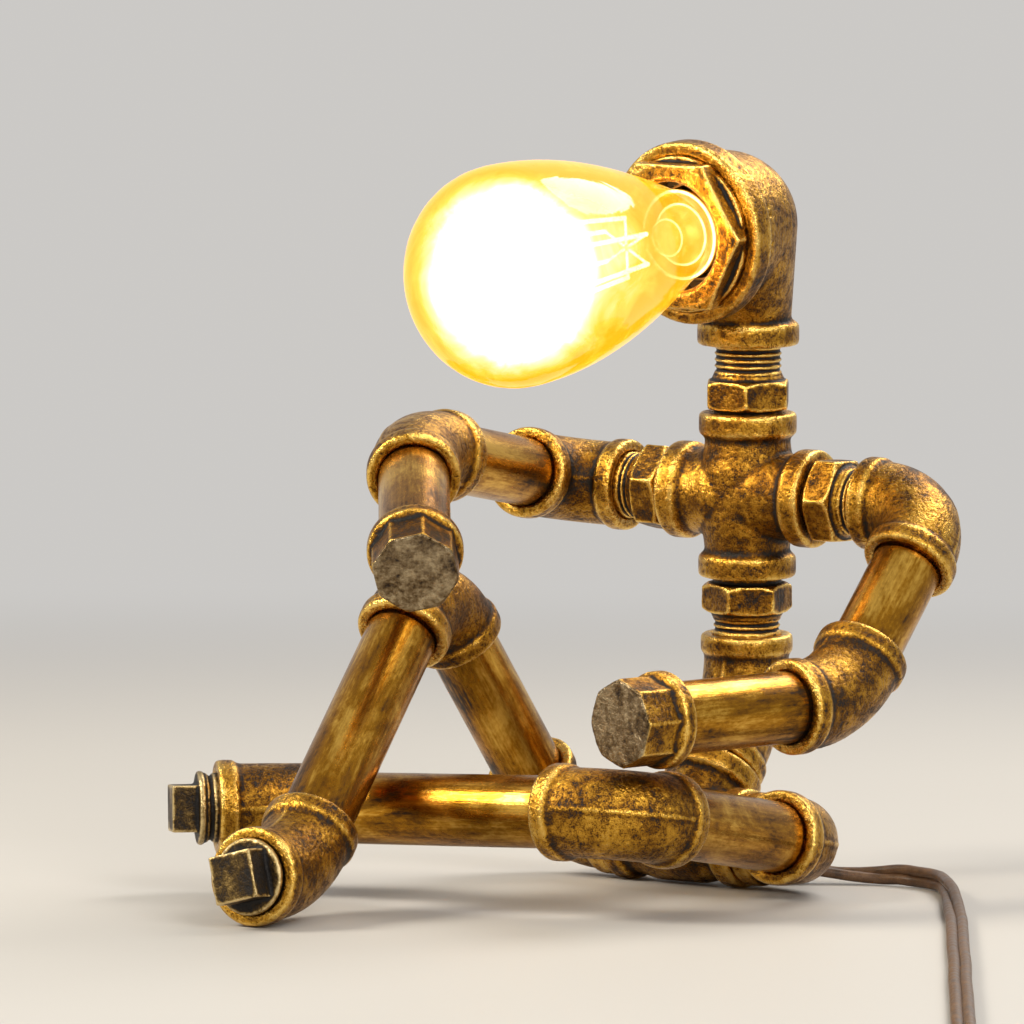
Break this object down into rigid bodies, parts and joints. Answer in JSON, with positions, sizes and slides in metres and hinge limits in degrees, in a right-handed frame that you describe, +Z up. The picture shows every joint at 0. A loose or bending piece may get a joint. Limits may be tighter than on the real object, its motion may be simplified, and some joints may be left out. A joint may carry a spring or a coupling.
{
  "type": "robot-shaped desk lamp",
  "caption": "Seated robot figure of threaded pipe fittings with turning arms, legs, chest and head, a filament bulb for a face, and a corded switch and plug.",
  "frame": {"origin": "on the surface it sits on, under the middle of the figure's box without the free cord", "axes": "+Z up; the robot faces -Y; +X is its left side"},
  "size_m": [0.5133, 0.323, 0.2271],
  "materials": {
    "bronze_casting": "antique bronze paint rubbed over black, grainy",
    "bronze_pipe": "antique bronze paint rubbed over black, brushed along the pipe",
    "dark_iron": "dark iron with a trace of bronze",
    "amber_glass": "clear, warm tint",
    "stem_glass": "clear",
    "filament": "glowing",
    "brass": "satin",
    "black_phenolic": "gloss",
    "cord_jacket": "satin brown",
    "black_rubber": "matte",
    "black_plastic": "fine grain",
    "pin_metal": "polished"
  },
  "bodies": {
    "pelvis": {"pelvis_tee": "bronze_casting", "waist_close_nipple": "dark_iron", "waist_elbow": "bronze_casting", "right_hip_nipple": "dark_iron", "left_hip_nipple": "dark_iron", "cord_relief": "black_rubber", "cord_run": "cord_jacket", "cord_link": "cord_jacket", "cord_coil": "cord_jacket", "cord_tail": "cord_jacket", "coil_tie": "black_rubber", "switch_base": "black_plastic", "switch_cover": "black_plastic", "plug_body": "black_plastic", "plug_pins": "pin_metal"},
    "chest": {"waist_hex_nipple": "bronze_casting", "chest_cross": "bronze_casting", "right_shoulder_nipple": "bronze_casting", "left_shoulder_nipple": "bronze_casting", "neck_hex_nipple": "bronze_casting"},
    "head": {"head_elbow": "bronze_casting", "face_bushing": "bronze_casting", "holder_body": "black_phenolic", "holder_shell": "brass", "holder_contact": "brass"},
    "bulb": {"bulb_glass": "amber_glass", "bulb_base": "brass", "bulb_stem": "stem_glass", "bulb_filaments": "filament"},
    "right_arm": {"right_shoulder_elbow": "bronze_casting", "right_upper_arm": "bronze_pipe"},
    "right_forearm": {"right_arm_elbow": "bronze_casting", "right_forearm": "bronze_pipe", "right_hand_cap": "bronze_casting"},
    "left_arm": {"left_shoulder_elbow": "bronze_casting", "left_upper_arm": "bronze_pipe"},
    "left_forearm": {"left_arm_elbow": "bronze_casting", "left_forearm": "bronze_pipe", "left_hand_cap": "bronze_casting"},
    "right_thigh": {"right_hip_elbow": "bronze_casting", "right_thigh": "bronze_pipe"},
    "right_shin": {"right_knee_elbow": "bronze_casting", "right_shin": "bronze_pipe"},
    "right_foot": {"right_foot_elbow": "bronze_casting", "right_foot_plug": "dark_iron"},
    "left_thigh": {"left_hip_elbow": "bronze_casting", "left_thigh": "bronze_pipe"},
    "left_shin": {"left_knee_elbow": "bronze_casting", "left_shin": "bronze_pipe"},
    "left_foot": {"left_foot_elbow": "bronze_casting", "left_foot_plug": "dark_iron"},
    "rocker": {"switch_rocker": "black_plastic"}
  },
  "joints": [
    {"name": "chest_turn", "type": "hinge", "parent": "pelvis", "child": "chest", "pos_m": [0.01, 0.10558, 0.05178], "axis": [0.0395, -0.0689, 0.9968], "range_deg": [0, 25]},
    {"name": "head_turn", "type": "hinge", "parent": "chest", "child": "head", "pos_m": [0.016, 0.0951, 0.2034], "axis": [0.0395, -0.0689, 0.9968], "range_deg": [-40, 40]},
    {"name": "bulb_turn", "type": "hinge", "parent": "head", "child": "bulb", "pos_m": [0.01415, 0.06254, 0.19834], "axis": [-0.0562, -0.9866, -0.1534], "range_deg": [0, 90]},
    {"name": "right_shoulder_turn", "type": "hinge", "parent": "chest", "child": "right_arm", "pos_m": [-0.05369, 0.09679, 0.12071], "axis": [0.9974, 0.063, -0.0351], "range_deg": [-10, 3]},
    {"name": "right_elbow_turn", "type": "hinge", "parent": "right_arm", "child": "right_forearm", "pos_m": [-0.04778, 0.00979, 0.13251], "axis": [0.0672, -0.9887, 0.1341], "range_deg": [-60, 25]},
    {"name": "left_shoulder_turn", "type": "hinge", "parent": "chest", "child": "left_arm", "pos_m": [0.07896, 0.10517, 0.11603], "axis": [0.9974, 0.063, -0.0351], "range_deg": [-45, 0]},
    {"name": "left_elbow_turn", "type": "hinge", "parent": "left_arm", "child": "left_forearm", "pos_m": [0.08056, 0.04899, 0.06051], "axis": [0.0202, -0.7111, -0.7028], "range_deg": [-60, 0]},
    {"name": "right_hip_turn", "type": "hinge", "parent": "pelvis", "child": "right_thigh", "pos_m": [-0.0385, 0.0737, 0.0151], "axis": [1, 0, 0], "range_deg": [-9, 0]},
    {"name": "right_knee_turn", "type": "hinge", "parent": "right_thigh", "child": "right_shin", "pos_m": [-0.0385, 0.00533, 0.09347], "axis": [0, -0.6574, 0.7535], "range_deg": [0, 20]},
    {"name": "right_foot_turn", "type": "hinge", "parent": "right_shin", "child": "right_foot", "pos_m": [-0.01803, -0.08683, 0.01306], "axis": [0.165, -0.7432, -0.6484], "range_deg": [-20, 6]},
    {"name": "left_hip_turn", "type": "hinge", "parent": "pelvis", "child": "left_thigh", "pos_m": [0.0585, 0.0737, 0.0151], "axis": [1, 0, 0], "range_deg": [0, 2.5]},
    {"name": "left_knee_turn", "type": "hinge", "parent": "left_thigh", "child": "left_shin", "pos_m": [0.0585, -0.02896, 0.03173], "axis": [0, -0.9871, 0.1599], "range_deg": [0, 2.5]},
    {"name": "left_foot_turn", "type": "hinge", "parent": "left_shin", "child": "left_foot", "pos_m": [-0.06536, -0.0299, 0.02596], "axis": [-0.9989, -0.0075, -0.0465], "range_deg": [-40, 60]},
    {"name": "switch_press", "type": "hinge", "parent": "pelvis", "child": "rocker", "pos_m": [0.344, -0.1935, 0.0145], "axis": [0, 1, 0], "range_deg": [0, 14]}
  ]
}
